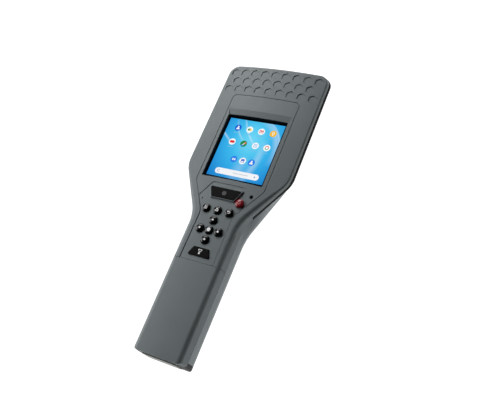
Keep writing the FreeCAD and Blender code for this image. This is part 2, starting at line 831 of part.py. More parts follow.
def make_group(name):
    """Identical blocks that share one node."""
    width, length, thick, under = (
        size(f"{name}_{part}") for part in ("width", "length", "thick", "under")
    )
    boxes = [
        Part.makeBox(width, length, thick, Vector(x - width / 2, y, under))
        for x, y in GROUP_PLACES[name]
    ]
    return shaped(name, Part.makeCompound(boxes))


def make_screws():
    """Self-tapping screws, driven from the back into the upper shell's towers."""
    screws = []
    low, high = size("screw_head_low"), size("screw_head_high")
    head_r = size("screw_head_r") - size("screw_clearance")
    long, short = size("screw_slot_length"), size("screw_slot_width")
    for x, y in SCREWS:
        head = post(x, y, low, high, head_r)
        shank = post(x, y, high, size("screw_tip"), size("screw_shank_r"))
        cross = [
            Part.makeBox(width, length, size("screw_slot_depth"),
                         Vector(x - width / 2, y - length / 2, low))
            for width, length in ((long, short), (short, long))
        ]
        screws.append(head.fuse(shank).cut(cross))
    return shaped("shell_screws", Part.makeCompound(screws))


def make_cylinder(name, radius, height, place):
    """An upright cylinder, its radius, height and place given as expressions."""
    cylinder = document.addObject("Part::Cylinder", name)
    cylinder.setExpression("Radius", radius)
    cylinder.setExpression("Height", height)
    for axis, value in zip("xyz", place):
        cylinder.setExpression(f"Placement.Base.{axis}", value)
    return keep(cylinder, name)


# --------------------------------------------------------------------- the lower end


def door_box(outset, low_y, high_y):
    """The end door's block, grown sideways by outset."""
    half, low, high = size("door_half"), size("door_low"), size("door_high")
    width, height = 2 * (half + outset), high - low + 2 * outset
    box = Part.makeBox(width, high_y - low_y, height, Vector(-half - outset, low_y, low - outset))
    lengthwise = [edge for edge in box.Edges if abs(edge.Vertexes[0].Y - edge.Vertexes[-1].Y) > 0.1]
    return box.makeFillet(size("door_corner") + outset, lengthwise)


def hinge_axis_cylinder(radius, half):
    """A cylinder on the end door's hinge line."""
    start = Vector(-half, size("pin_y"), size("pin_z"))
    return Part.makeCylinder(radius, 2 * half, start, Vector(1, 0, 0))


def make_end_cap(outer, spigot):
    """Black cap that closes the handle's lower end and holds the port bay."""
    end, root = size("cap_end"), size("cap_root")
    rim = outer.common(stretch(end, size("rear_end"))).common(layer(-5, size("parting_height") - 0.2))
    plug = spigot.common(stretch(end, root))
    cap = rim.fuse(plug)
    seat = door_box(size("door_clearance"), end - 5, end + size("seat_depth"))
    half, low, high = size("port_half"), size("port_low"), size("port_high")
    bay = Part.makeBox(2 * half, 30, high - low, Vector(-half, end - 5, low))
    swing = hinge_axis_cylinder(size("swing_r"), size("swing_half"))
    pin_hole = hinge_axis_cylinder(size("pin_r"), size("pin_half"))
    return cap.cut([seat, bay, swing, pin_hole]).common(end_trim())


def make_end_door():
    """Plate over the port bay, with a knuckle round the hinge pin."""
    outer_y = size("door_outer")
    plate = door_box(0.0, outer_y, outer_y + size("door_thick"))
    knuckle = hinge_axis_cylinder(size("knuckle_r"), size("knuckle_half"))
    knuckle = knuckle.common(stretch(outer_y, FAR))
    bore = hinge_axis_cylinder(size("pin_r") + size("pin_clearance"), size("pin_half") + 5)
    return plate.fuse(knuckle).cut(bore)


# ---------------------------------------------------------------------------- build


def check_and_write():
    """Stops on any failed object, then writes one STEP file for each sub-part."""
    document.recompute()
    failed = [o.Name for o in document.Objects if {"Invalid", "Error"} & set(o.State)]
    for piece in parts:
        if piece.Shape.isNull() or not piece.Shape.isValid() or piece.Shape.Volume <= 0:
            failed.append(piece.Label)
    if failed:
        sys.exit(f"failed: {failed}")
    os.makedirs("parts", exist_ok=True)
    for piece in parts:
        piece.Shape.exportStep(f"parts/{piece.Label}.step")


def main():
    fill_sheet()
    outer = envelope("outer_form", 0.0)
    inner = envelope("inner_form", size("wall"))
    spigot = envelope("spigot_form", size("wall") + size("cap_clearance"))
    outer = outer.common(end_trim())
    bumper = make_bumper()
    seal = make_seal()
    shaped("side_bumper", bumper)
    shaped("shell_seal", seal)
    shaped("front_shell", make_front_shell(outer, inner, bumper))
    shaped("rear_shell", make_rear_shell(outer, inner, bumper, seal))
    shaped("fascia_panel", make_fascia())
    shaped("battery_cover", make_battery_cover(outer, inner))
    shaped("display_gasket", make_display_gasket())
    for label in ROUND_KEYS:
        make_round_key(label)
    make_wide_key("scan_key", "scan")
    make_wide_key("torch_key", "torch")
    make_keypad()
    for name in BLOCKS:
        make_block(name)
    for name in GROUPED_BLOCKS:
        make_group(name)
    make_screws()
    lens_r = f"{cell('torch_seat_r')} - {cell('torch_lens_clearance')}"
    lens_place = (cell("zero"), cell("torch_lens_y"), cell("zero"))
    make_cylinder("torch_lens", lens_r, cell("torch_lens_high"), lens_place)
    motor_place = [cell(f"motor_{axis}") for axis in "xyz"]
    make_cylinder("vibration_motor", cell("motor_r"), cell("motor_height"), motor_place)
    shaped("end_cap", make_end_cap(outer, spigot))
    shaped("end_door", make_end_door())
    shaped("door_pin", hinge_axis_cylinder(size("pin_r"), size("pin_half")))
    check_and_write()


main()
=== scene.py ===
import json
import math

import bmesh
import bpy
from mathutils import Matrix, Vector


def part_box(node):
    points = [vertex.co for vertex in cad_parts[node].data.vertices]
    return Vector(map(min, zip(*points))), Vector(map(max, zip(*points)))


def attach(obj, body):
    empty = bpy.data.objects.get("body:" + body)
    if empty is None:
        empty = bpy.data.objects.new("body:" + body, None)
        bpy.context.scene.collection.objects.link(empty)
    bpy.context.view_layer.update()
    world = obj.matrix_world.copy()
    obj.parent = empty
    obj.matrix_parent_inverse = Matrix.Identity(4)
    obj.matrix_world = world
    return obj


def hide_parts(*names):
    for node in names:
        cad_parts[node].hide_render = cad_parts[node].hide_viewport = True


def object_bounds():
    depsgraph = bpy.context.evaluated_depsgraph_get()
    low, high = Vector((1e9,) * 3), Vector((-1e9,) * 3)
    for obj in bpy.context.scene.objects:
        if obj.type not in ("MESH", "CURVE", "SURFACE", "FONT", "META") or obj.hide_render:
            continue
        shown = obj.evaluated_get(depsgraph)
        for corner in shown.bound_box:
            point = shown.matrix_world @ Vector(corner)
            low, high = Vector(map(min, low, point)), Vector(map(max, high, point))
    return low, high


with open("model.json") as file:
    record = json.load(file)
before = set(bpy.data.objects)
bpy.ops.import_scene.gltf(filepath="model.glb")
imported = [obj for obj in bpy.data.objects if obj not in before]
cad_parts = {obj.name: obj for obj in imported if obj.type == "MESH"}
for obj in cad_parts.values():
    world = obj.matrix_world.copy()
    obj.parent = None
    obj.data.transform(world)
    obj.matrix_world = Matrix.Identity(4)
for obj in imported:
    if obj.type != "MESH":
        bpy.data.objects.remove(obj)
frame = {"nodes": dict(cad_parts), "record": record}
cad_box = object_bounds()
scene = bpy.context.scene
ROOT = "housing"
MM = 0.001


# ------------------------------------------------------------------ camera, floor, lights

CAMERA_PLACE = (0.2560, -0.1783, 0.4764)
CAMERA_RIGHT = (0.8747, 0.3641, -0.3197)
CAMERA_UP = (-0.1953, 0.8688, 0.4550)
LENS, SENSOR = 47.77, 36.0
FLOOR_HALF, FLOOR_GAP = 6.0, 0.0002
WHITE = (1.0, 1.0, 1.0, 1.0)
SURROUND_GLOW = 1.08
SOFT_BOX_WIDTH, SOFT_BOX_HEIGHT, SOFT_BOX_AWAY = 0.77, 0.55, 1.3


def make_camera():
    data = bpy.data.cameras.new("camera")
    data.lens = LENS
    data.sensor_width = SENSOR
    data.clip_start = 0.01
    camera = bpy.data.objects.new("camera", data)
    right = Vector(CAMERA_RIGHT)
    back = right.cross(Vector(CAMERA_UP)).normalized()
    up = back.cross(right).normalized()
    turn = Matrix((right.normalized(), up, back)).transposed()
    camera.matrix_world = Matrix.Translation(CAMERA_PLACE) @ turn.to_4x4()
    scene.collection.objects.link(camera)
    scene.camera = camera


def make_floor():
    """A wide, flat floor that glows evenly, as a light table does."""
    mesh = bpy.data.meshes.new("floor")
    corners = [(-1, -1), (1, -1), (1, 1), (-1, 1)]
    mesh.from_pydata([(x * FLOOR_HALF, y * FLOOR_HALF, 0) for x, y in corners], [], [(0, 1, 2, 3)])
    floor = bpy.data.objects.new("floor", mesh)
    scene.collection.objects.link(floor)
    floor.location.z = cad_box[0][2] - FLOOR_GAP
    floor.data.materials.append(MATERIALS["floor_pale"])


def make_world():
    """A white backdrop beyond the floor's edge. It shows there and lights nothing."""
    world = bpy.data.worlds.new("studio")
    world.use_nodes = True
    back = world.node_tree.nodes["Background"]
    back.inputs["Color"].default_value = WHITE
    back.inputs["Strength"].default_value = SURROUND_GLOW
    seen_by = world.cycles_visibility
    seen_by.diffuse = seen_by.glossy = seen_by.transmission = seen_by.scatter = False
    scene.world = world


def soft_box(name, azimuth, elevation, power):
    """A soft box at a compass direction from the object, and facing it."""
    data = bpy.data.lights.new(name, "AREA")
    data.shape = "RECTANGLE"
    data.size, data.size_y = SOFT_BOX_WIDTH, SOFT_BOX_HEIGHT
    data.energy = power
    turn, rise = math.radians(azimuth), math.radians(elevation)
    away = Vector((math.cos(turn) * math.cos(rise), math.sin(turn) * math.cos(rise), math.sin(rise)))
    place = away * SOFT_BOX_AWAY
    light = bpy.data.objects.new(name, data)
    light.location = place
    light.rotation_euler = (-place).to_track_quat("-Z", "Y").to_euler()
    scene.collection.objects.link(light)


# ------------------------------------------------------------------------------ materials


GRAIN_RELIEF = 0.0001
MOTTLE_SCALE = 38.0
GLOSS_SCALE, GLOSS_SWING = 160.0, 0.12
DRAWN_STRETCH, DRAWN_SCALE = (1.0, 40.0, 1.0), 220.0


class Nodes:
    """A short way to build one material's nodes."""

    def __init__(self, name):
        self.material = bpy.data.materials.new(name)
        self.material.use_nodes = True
        self.tree = self.material.node_tree
        self.shader = self.tree.nodes["Principled BSDF"]

    def add(self, kind, **values):
        node = self.tree.nodes.new(kind)
        for key, value in values.items():
            setattr(node, key, value)
        return node

    def join(self, source, target):
        self.tree.links.new(source, target)

    def put(self, node, name, value):
        if isinstance(value, bpy.types.NodeSocket):
            self.join(value, node.inputs[name])
        else:
            node.inputs[name].default_value = value

    def coordinates(self):
        return self.add("ShaderNodeTexCoord").outputs["Object"]

    def noise(self, scale, detail=2.0, rough=0.5, vector=None):
        node = self.add("ShaderNodeTexNoise")
        self.put(node, "Scale", scale)
        self.put(node, "Detail", detail)
        self.put(node, "Roughness", rough)
        self.join(vector or self.coordinates(), node.inputs["Vector"])
        return node.outputs["Fac"]

    def math(self, operation, first, second=None, third=None):
        node = self.add("ShaderNodeMath", operation=operation)
        for number, value in enumerate((first, second, third)):
            if value is not None:
                self.put(node, number, value)
        return node.outputs[0]

    def ramp(self, factor, stops):
        node = self.add("ShaderNodeValToRGB")
        elements = node.color_ramp.elements
        while len(elements) < len(stops):
            elements.new(0.5)
        for element, (place, color) in zip(elements, stops):
            element.position = place
            element.color = tuple(color) + (1.0,)
        self.join(factor, node.inputs["Fac"])
        return node.outputs["Color"]

    def mix(self, factor, first, second, blend="MIX"):
        """Colour mix. The node's colour sockets are its inputs 6 and 7 and its output 2."""
        node = self.add("ShaderNodeMix", data_type="RGBA", blend_type=blend)
        self.put(node, 0, factor)
        for number, value in ((6, first), (7, second)):
            if isinstance(value, bpy.types.NodeSocket):
                self.join(value, node.inputs[number])
            else:
                node.inputs[number].default_value = tuple(value) + (1.0,)
        return node.outputs[2]

    def bump(self, height, strength):
        node = self.add("ShaderNodeBump")
        self.put(node, "Strength", strength)
        self.put(node, "Distance", GRAIN_RELIEF)
        self.join(height, node.inputs["Height"])
        return node.outputs["Normal"]


def shade(color, share):
    return tuple(min(1.0, max(0.0, part * share)) for part in color)


def grained(name, color, rough, grain=3500.0, depth=0.25, mottle=0.05, spec=0.5):
    """Moulded plastic or rubber: fine grain in relief, faint mottling in colour and gloss."""
    n = Nodes(name)
    fine = n.noise(grain, 3.0, 0.6)
    broad = n.noise(MOTTLE_SCALE, 3.0, 0.55)
    tint = n.ramp(broad, [(0.3, shade(color, 1 - mottle)), (0.7, shade(color, 1 + mottle))])
    speck = n.ramp(fine, [(0.35, shade((1, 1, 1), 1 - mottle * 1.6)), (0.65, (1, 1, 1))])
    n.join(n.mix(1.0, tint, speck, "MULTIPLY"), n.shader.inputs["Base Color"])
    gloss = n.math("MULTIPLY_ADD", n.noise(GLOSS_SCALE, 4.0), GLOSS_SWING, rough - GLOSS_SWING / 2)
    n.join(gloss, n.shader.inputs["Roughness"])
    n.join(n.bump(fine, depth), n.shader.inputs["Normal"])
    n.shader.inputs["Specular IOR Level"].default_value = spec
    return n.material


def metal(name, color, rough):
    """Sheet metal with a fine drawn grain."""
    n = Nodes(name)
    mapping = n.add("ShaderNodeMapping")
    mapping.inputs["Scale"].default_value = DRAWN_STRETCH
    n.join(n.coordinates(), mapping.inputs["Vector"])
    lines = n.noise(DRAWN_SCALE, 4.0, 0.6, mapping.outputs["Vector"])
    tint = n.ramp(lines, [(0.3, shade(color, 0.85)), (0.7, shade(color, 1.1))])
    n.join(tint, n.shader.inputs["Base Color"])
    n.join(n.math("MULTIPLY_ADD", lines, 0.25, rough - 0.1), n.shader.inputs["Roughness"])
    n.join(n.bump(lines, 0.15), n.shader.inputs["Normal"])
    n.shader.inputs["Metallic"].default_value = 1.0
    return n.material


def clear_lens():
    """Slightly uneven clear plastic."""
    n = Nodes("clear_lens")
    tint = n.ramp(n.noise(300.0, 2.0), [(0.3, (0.86, 0.9, 0.9)), (0.7, (0.95, 0.97, 0.97))])
    n.join(tint, n.shader.inputs["Base Color"])
    n.shader.inputs["Roughness"].default_value = 0.08
    n.shader.inputs["Transmission Weight"].default_value = 0.85
    return n.material


def screen_glass():
    """Black glass with faint smears."""
    n = Nodes("screen_glass")
    smear = n.noise(60.0, 4.0, 0.6)
    tint = n.ramp(smear, [(0.3, (0.004, 0.004, 0.005)), (0.7, (0.007, 0.007, 0.008))])
    n.join(tint, n.shader.inputs["Base Color"])
    n.join(n.math("MULTIPLY_ADD", smear, 0.05, 0.04), n.shader.inputs["Roughness"])
    return n.material


# Colour, roughness, grain scale, grain depth, mottling and specular level. What a line
# leaves out is as in grained().
MOULDED = {
    "shell_grey": ((0.192, 0.222, 0.232), 0.47, 3200.0, 0.35, 0.04, 0.4),
    "bumper_rubber": ((0.010, 0.010, 0.012), 0.6, 2600.0, 0.3, 0.1, 0.12),
    "seal_rubber": ((0.2, 0.2, 0.22), 0.65),
    "gasket_black": ((0.003, 0.003, 0.0035), 0.5, 2600.0, 0.15, 0.1, 0.04),
    "cap_black": ((0.012, 0.013, 0.015), 0.5, 3000.0, 0.3, 0.08, 0.15),
    "door_plate": ((0.188, 0.196, 0.172), 0.45, 3000.0, 0.25, 0.05, 0.45),
    "display_black": ((0.01, 0.01, 0.012), 0.5),
    "circuit_board": ((0.015, 0.13, 0.06), 0.35, 900.0, 0.2, 0.15, 0.5),
    "foam_grey": ((0.15, 0.15, 0.155), 0.9, 1200.0, 0.8, 0.1, 0.2),
    "battery_wrap": ((0.035, 0.035, 0.045), 0.3, 700.0, 0.15, 0.1, 0.5),
    "lamp_yellow": ((0.75, 0.62, 0.12), 0.4),
    "key_black": ((0.004, 0.004, 0.0045), 0.2, 1800.0, 0.02, 0.1, 0.3),
    "key_matt": ((0.004, 0.004, 0.0045), 0.45, 1800.0, 0.02, 0.1, 0.08),
    "key_red": ((0.27, 0.012, 0.022), 0.2, 1800.0, 0.02, 0.06, 0.45),
    "print_pale": ((0.85, 0.86, 0.87), 0.5, 2500.0, 0.05, 0.04, 0.4),
    "print_grey": ((0.2, 0.2, 0.215), 0.5, 2500.0, 0.05, 0.04, 0.4),
    "print_rose": ((0.75, 0.28, 0.28), 0.5, 2500.0, 0.05, 0.04, 0.4),
    "floor_pale": ((0.3, 0.3, 0.3), 0.8, 60.0, 0.02, 0.004, 0.1),
}
METALS = {
    "sheet_steel": ((0.55, 0.55, 0.56), 0.35),
    "contact_gold": ((0.78, 0.56, 0.22), 0.25),
    "screw_steel": ((0.16, 0.16, 0.165), 0.4),
}
# The pale print on the keys glows faintly: a painted glow that makes the signs read whiter. The floor's
# glow is its even light-table brightness.
GLOWING = {"print_pale": ((0.95, 0.97, 1.0, 1.0), 0.2), "floor_pale": (WHITE, SURROUND_GLOW)}


def make_materials():
    made = {name: grained(name, *values) for name, values in MOULDED.items()}
    made.update({name: metal(name, *values) for name, values in METALS.items()})
    made.update(clear_lens=clear_lens(), screen_glass=screen_glass())
    for name, (color, strength) in GLOWING.items():
        shader = made[name].node_tree.nodes["Principled BSDF"]
        shader.inputs["Emission Color"].default_value = color
        shader.inputs["Emission Strength"].default_value = strength
    return made


MATERIALS = make_materials()

# The two flat keys are duller than the domed ones.
FLAT_KEYS = ("scan_key", "torch_key")


def paint(piece, material):
    piece.data.materials.clear()
    piece.data.materials.append(material)


def paint_frame():
    """Every CAD node gets the material of its slot."""
    slots = {part["node"]: part["material_slot"] for part in frame["record"]["subparts"]}
    for name, node in frame["nodes"].items():
        material = MATERIALS["key_matt" if name in FLAT_KEYS else slots[name]]
        if len(node.material_slots) == 0:
            node.data.materials.append(material)
        for place in node.material_slots:
            place.material = material


# ------------------------------------------------------------------------- mesh building


def finish_piece(name, bm, body, material, smooth=True):
    """Turns a bmesh into a piece that rides on a body and has its finish."""
    bmesh.ops.recalc_face_normals(bm, faces=bm.faces)
    for face in bm.faces:
        face.smooth = smooth
    mesh = bpy.data.meshes.new(name)
    bm.to_mesh(mesh)
    bm.free()
    piece = bpy.data.objects.new(name, mesh)
    scene.collection.objects.link(piece)
    paint(piece, material)
    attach(piece, body)
    return piece


def lathe(profile, centre, turns=80):
    """A solid of revolution about an upright axis, from (radius, height) pairs."""
    bm = bmesh.new()
    rings = []
    for radius, height in profile:
        count = 1 if radius < 1e-7 else turns
        ring = []
        for step in range(count):
            angle = 2 * math.pi * step / turns
            x = centre[0] + radius * math.cos(angle)
            y = centre[1] + radius * math.sin(angle)
            ring.append(bm.verts.new((x, y, height)))
        rings.append(ring)
    for lower, upper in zip(rings, rings[1:]):
        for step in range(turns):
            corners = [
                lower[step % len(lower)],
                lower[(step + 1) % len(lower)],
                upper[(step + 1) % len(upper)],
                upper[step % len(upper)],
            ]
            corners = list(dict.fromkeys(corners))
            if len(corners) > 2:
                bm.faces.new(corners)
    return bm


def ring_points(radius, count=40, x=0.0, y=0.0, start=0.0, end=360.0):
    """Points round an arc; a full turn leaves out its last point."""
    whole = abs(end - start) >= 360.0
    steps = count if whole else count - 1
    angles = [math.radians(start + (end - start) * step / steps) for step in range(count)]
    return [(x + radius * math.cos(a), y + radius * math.sin(a)) for a in angles]


def bar(x, y, width, height, turn=0.0):
    """Corners of a rectangle about (x, y)."""
    c, s = math.cos(math.radians(turn)), math.sin(math.radians(turn))
    a, b = width / 2, height / 2
    corners = [(-a, -b), (a, -b), (a, b), (-a, b)]
    return [(x + a * c - b * s, y + a * s + b * c) for a, b in corners]


def pill(x, y, half, radius, count=14):
    """A bar with round ends."""
    right = ring_points(radius, count, x + half, y, -90, 90)
    left = ring_points(radius, count, x - half, y, 90, 270)
    return right + left


def arc_band(radius, width, start, end, x=0.0, y=0.0, count=30):
    """A curved stroke of one width."""
    outer = ring_points(radius + width / 2, count, x, y, start, end)
    inner = ring_points(radius - width / 2, count, x, y, start, end)
    return outer + inner[::-1]


def moved(loop, x, y):
    return [(x + a, y + b) for a, b in loop]


SIGN_SINK = 0.02
SPLIT_ROUNDS = 3


def print_piece(name, shapes, height, thickness, body, material, finest=None):
    """Thin flat shapes laid on a surface. Sizes are millimetres.

    Each shape is a list of loops, the first its outline and the rest its holes. height gives
    the surface's height at a point, and finest the edge length that the shapes are split to.
    """
    bm = bmesh.new()
    for loops in shapes:
        edges = []
        for loop in loops:
            verts = [bm.verts.new((x * MM, y * MM, 0)) for x, y in loop]
            edges += [bm.edges.new(pair) for pair in zip(verts, verts[1:] + verts[:1])]
        bmesh.ops.triangle_fill(bm, edges=edges, use_beauty=True)
    if finest:
        for _ in range(SPLIT_ROUNDS):
            long = [edge for edge in bm.edges if edge.calc_length() > finest * MM]
            if long:
                bmesh.ops.subdivide_edges(bm, edges=long, cuts=1)
        bmesh.ops.triangulate(bm, faces=bm.faces)
    raised = bmesh.ops.extrude_face_region(bm, geom=list(bm.faces))["geom"]
    top = {item for item in raised if isinstance(item, bmesh.types.BMVert)}
    for vert in bm.verts:
        ground = height(vert.co.x / MM, vert.co.y / MM)
        vert.co.z = (ground + (thickness if vert in top else -SIGN_SINK)) * MM
    return finish_piece(name, bm, body, material, smooth=False)


# ---------------------------------------------------------------------------------- keys

CAP_GAP = 0.27
FLANGE_HEIGHT = 0.8
DOME_DROP, DOME_POWER, DOME_STEPS = 1.35, 2.3, 26
SKIRT_RINGS = (1.2, 0.4)
DOME_SIGN, FLAT_SIGN = 0.035, 0.03
ROUND_KEYS = (
    "menu_key", "home_key", "back_key", "up_key", "down_key", "left_key", "right_key", "select_key",
)


def dome_height(top, radius, x, y):
    """Height of a domed key at a point, x and y from its middle."""
    share = min(1.0, math.hypot(x, y) / radius)
    return top - DOME_DROP * (1 - math.sqrt(1 - share ** DOME_POWER))


def key_facts(name):
    """Middle, base, top and outer radius of a round key, in millimetres."""
    low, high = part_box(name)
    middle = ((low.x + high.x) / 2 / MM, (low.y + high.y) / 2 / MM)
    return middle, low.z / MM, high.z / MM, (high.x - low.x) / 2 / MM


def make_round_key(name, slot):
    """A domed cap on a flange, turned in one piece."""
    (x, y), base, top, flange = key_facts(name)
    radius = flange - CAP_GAP
    shoulder = base + FLANGE_HEIGHT
    profile = [(0, base), (flange, base), (flange, shoulder), (radius, shoulder)]
    profile += [(radius, top - DOME_DROP - below) for below in SKIRT_RINGS]
    for step in range(DOME_STEPS + 1):
        r = radius * math.cos(math.pi / 2 * step / DOME_STEPS)
        profile.append((r if step < DOME_STEPS else 0.0, dome_height(top, radius, r, 0)))
    bm = lathe([(r * MM, z * MM) for r, z in profile], (x * MM, y * MM))
    piece = finish_piece(f"{name}_dome", bm, name, MATERIALS[slot])
    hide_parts(name)


def make_icon(name, shapes, material):
    """A printed sign on a round key's dome."""
    (x, y), _, top, flange = key_facts(name)
    radius = flange - CAP_GAP
    placed = [[moved(loop, x, y) for loop in loops] for loops in shapes]
    print_piece(
        f"{name}_sign", placed, lambda px, py: dome_height(top, radius, px - x, py - y), DOME_SIGN,
        name, material, finest=0.35,
    )


def make_keys():
    for name in ROUND_KEYS:
        make_round_key(name, "key_black")
    make_round_key("power_key", "key_red")
    sign, faint = MATERIALS["print_pale"], MATERIALS["print_grey"]
    lines = [[pill(0, row, 1.15, 0.26)] for row in (-1.05, 0.0, 1.05)]
    make_icon("menu_key", lines, sign)
    house = [(-1.35, -1.35), (1.35, -1.35), (1.35, 0.3), (0, 1.55), (-1.35, 0.3)]
    room = [(-0.75, -0.8), (0.75, -0.8), (0.75, 0.05), (0, 0.75), (-0.75, 0.05)]
    make_icon("home_key", [[house, room]], sign)
    hook = arc_band(0.8, 0.5, -90, 90, 0.55, 0.0)
    stem = bar(-0.15, 0.8, 1.42, 0.5)
    tip = [(-0.8, -0.05), (-0.8, 1.65), (-1.75, 0.8)]
    foot = bar(-0.1, -0.8, 1.32, 0.5)
    make_icon("back_key", [[hook], [stem], [tip], [foot]], sign)
    for name in ("up_key", "down_key", "left_key", "right_key"):
        make_icon(name, [[ring_points(0.9)]], sign)
    make_icon("select_key", [[ring_points(1.75)]], sign)
    ring = arc_band(1.25, 0.42, 125, 415)
    make_icon("power_key", [[ring], [bar(0, 1.0, 0.42, 1.6)]], MATERIALS["print_rose"])
    make_wide_signs(sign, faint)


def make_wide_signs(sign, faint):
    """A target on the scan key and a torch on the torch key."""
    low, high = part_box("scan_key")
    x, y, top = 0.0, (low.y + high.y) / 2 / MM, high.z / MM
    target = [[ring_points(1.95, x=x, y=y), ring_points(1.6, x=x, y=y)]]
    target += [[ring_points(1.25, x=x, y=y), ring_points(0.9, x=x, y=y)], [ring_points(0.5, x=x, y=y)]]
    print_piece("scan_key_sign", target, lambda px, py: top, FLAT_SIGN, "scan_key", faint)
    low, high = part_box("torch_key")
    y, top = (low.y + high.y) / 2 / MM, high.z / MM
    cup = [(-0.75, 0.0), (0.75, 0.0), (1.75, 1.5), (1.75, 2.3), (-1.75, 2.3), (-1.75, 1.5)]
    hollow = [(-0.5, 0.42), (0.5, 0.42), (1.3, 1.62), (1.3, 1.88), (-1.3, 1.88), (-1.3, 1.62)]
    handle = bar(0, -1.25, 1.5, 1.5)
    shapes = [[moved(cup, 0, y), moved(hollow, 0, y)], [moved(handle, 0, y)]]
    print_piece("torch_key_sign", shapes, lambda px, py: top, FLAT_SIGN, "torch_key", sign)


# -------------------------------------------------------------------------------- screen

LIT_LEFT, LIT_RIGHT = -28.2, 28.9
LIT_LOW, LIT_HIGH = 22.8, 83.6
ICON_R = 3.3
FIRST_ROW = [(-16.9, 74.4), (-4.9, 74.3), (7.1, 74.1), (18.9, 73.9)]
SECOND_ROW = [(-16.9, 59.3), (-5.1, 59.1), (6.9, 59.0), (18.4, 58.9)]
DOCK_ROW = [(-8.1, 42.2), (0.9, 42.0), (9.8, 41.9)]
LABEL_DROP = 5.3
SEARCH_Y = 28.6
# Heights of the layers above the glass.
PICTURE, LABEL, DISC, SIGN, ON_SIGN = 0.02, 0.03, 0.035, 0.05, 0.052


def srgb(red, green, blue):
    """Linear colour from ordinary screen values."""
    def straight(value):
        value /= 255
        return value / 12.92 if value <= 0.04045 else ((value + 0.055) / 1.055) ** 2.4
    return (straight(red), straight(green), straight(blue))


def circle_through(a, b, c):
    """Middle and radius of the circle through three points."""
    d = 2 * (a[0] * (b[1] - c[1]) + b[0] * (c[1] - a[1]) + c[0] * (a[1] - b[1]))
    squares = [p[0] ** 2 + p[1] ** 2 for p in (a, b, c)]
    x = (squares[0] * (b[1] - c[1]) + squares[1] * (c[1] - a[1]) + squares[2] * (a[1] - b[1])) / d
    y = (squares[0] * (c[0] - b[0]) + squares[1] * (a[0] - c[0]) + squares[2] * (b[0] - a[0])) / d
    return (x, y), math.hypot(a[0] - x, a[1] - y)


# Light streaks across the picture: three points, width and strength. The picture's half
# width and half height are 1.
STREAKS = [
    ((0.30, 1.02), (0.80, 0.55), (0.94, -0.10), 0.15, 0.34),
    ((0.44, 1.02), (0.90, 0.55), (1.02, 0.10), 0.05, 0.40),
    ((-0.41, 0.98), (-0.17, 0.58), (0.14, 0.25), 0.045, 0.42),
    ((-0.62, 0.78), (-0.50, 0.56), (-0.18, 0.26), 0.045, 0.34),
    ((-1.00, 0.47), (-0.86, 0.36), (-0.62, 0.16), 0.05, 0.42),
    ((0.50, 0.10), (0.44, -0.45), (0.20, -1.05), 0.17, 0.30),
    ((0.05, -0.35), (0.00, -0.70), (-0.10, -1.05), 0.30, 0.20),
]


def lit_shader(n, color, strength):
    """The look that the picture and the signs share: black, glossy and lit from inside."""
    n.join(color, n.shader.inputs["Emission Color"])
    n.shader.inputs["Emission Strength"].default_value = strength
    n.shader.inputs["Base Color"].default_value = (0.004, 0.004, 0.005, 1.0)
    n.shader.inputs["Roughness"].default_value = 0.07
    n.shader.inputs["Specular IOR Level"].default_value = 0.05
    return n.material


def make_picture_material():
    """A lit blue picture with a pale middle, deep corners and curved streaks of light."""
    n = Nodes("screen_picture")
    split = n.add("ShaderNodeSeparateXYZ")
    n.join(n.coordinates(), split.inputs[0])
    middle = (LIT_LOW + LIT_HIGH) / 2 * MM
    half_height = (LIT_HIGH - LIT_LOW) / 2 * MM
    u = n.math("DIVIDE", split.outputs[0], LIT_RIGHT * MM)
    v = n.math("DIVIDE", n.math("SUBTRACT", split.outputs[1], middle), half_height)

    def distance(x, y, squeeze=1.0):
        across = n.math("POWER", n.math("ABSOLUTE", n.math("SUBTRACT", u, x)), 2.0)
        rise = n.math("MULTIPLY", n.math("SUBTRACT", v, y), squeeze)
        along = n.math("POWER", n.math("ABSOLUTE", rise), 2.0)
        return n.math("SQRT", n.math("ADD", across, along))

    glow = n.math("MULTIPLY", distance(0.05, 0.35, 0.85), 0.6)
    color = n.ramp(glow, [
        (0.0, srgb(116, 218, 252)), (0.2, srgb(92, 208, 247)), (0.38, srgb(62, 188, 240)),
        (0.55, srgb(50, 172, 234)), (0.7, srgb(42, 154, 223)), (0.88, srgb(28, 132, 209)),
    ])
    for first, second, third, width, strength in STREAKS:
        (x, y), radius = circle_through(first, second, third)
        off = n.math("ABSOLUTE", n.math("SUBTRACT", distance(x, y), radius))
        edge = n.math("SUBTRACT", 1.0, n.math("MINIMUM", n.math("DIVIDE", off, width), 1.0))
        reach = 0.75 * math.hypot(first[0] - third[0], first[1] - third[1])
        near = n.math("DIVIDE", distance(*second), reach)
        fade = n.math("SUBTRACT", 1.0, n.math("MINIMUM", n.math("POWER", near, 2.0), 1.0))
        share = n.math("MULTIPLY", n.math("MULTIPLY", edge, fade), strength)
        color = n.mix(share, color, srgb(232, 248, 255))
    return lit_shader(n, color, 0.96)


def lit(name, color):
    """A lit area of the screen, a little uneven in brightness."""
    n = Nodes(name)
    return lit_shader(n, n.ramp(n.noise(500.0), [(0.3, shade(color, 0.95)), (0.7, color)]), 1.0)


def person(x, y):
    """Head and shoulders as two plain shapes."""
    body = [(x + 1.6, y - 1.7)] + ring_points(1.6, 16, x, y - 1.2, 0, 180) + [(x - 1.6, y - 1.7)]
    return [[ring_points(0.85, 20, x, y + 1.2)], [body]]


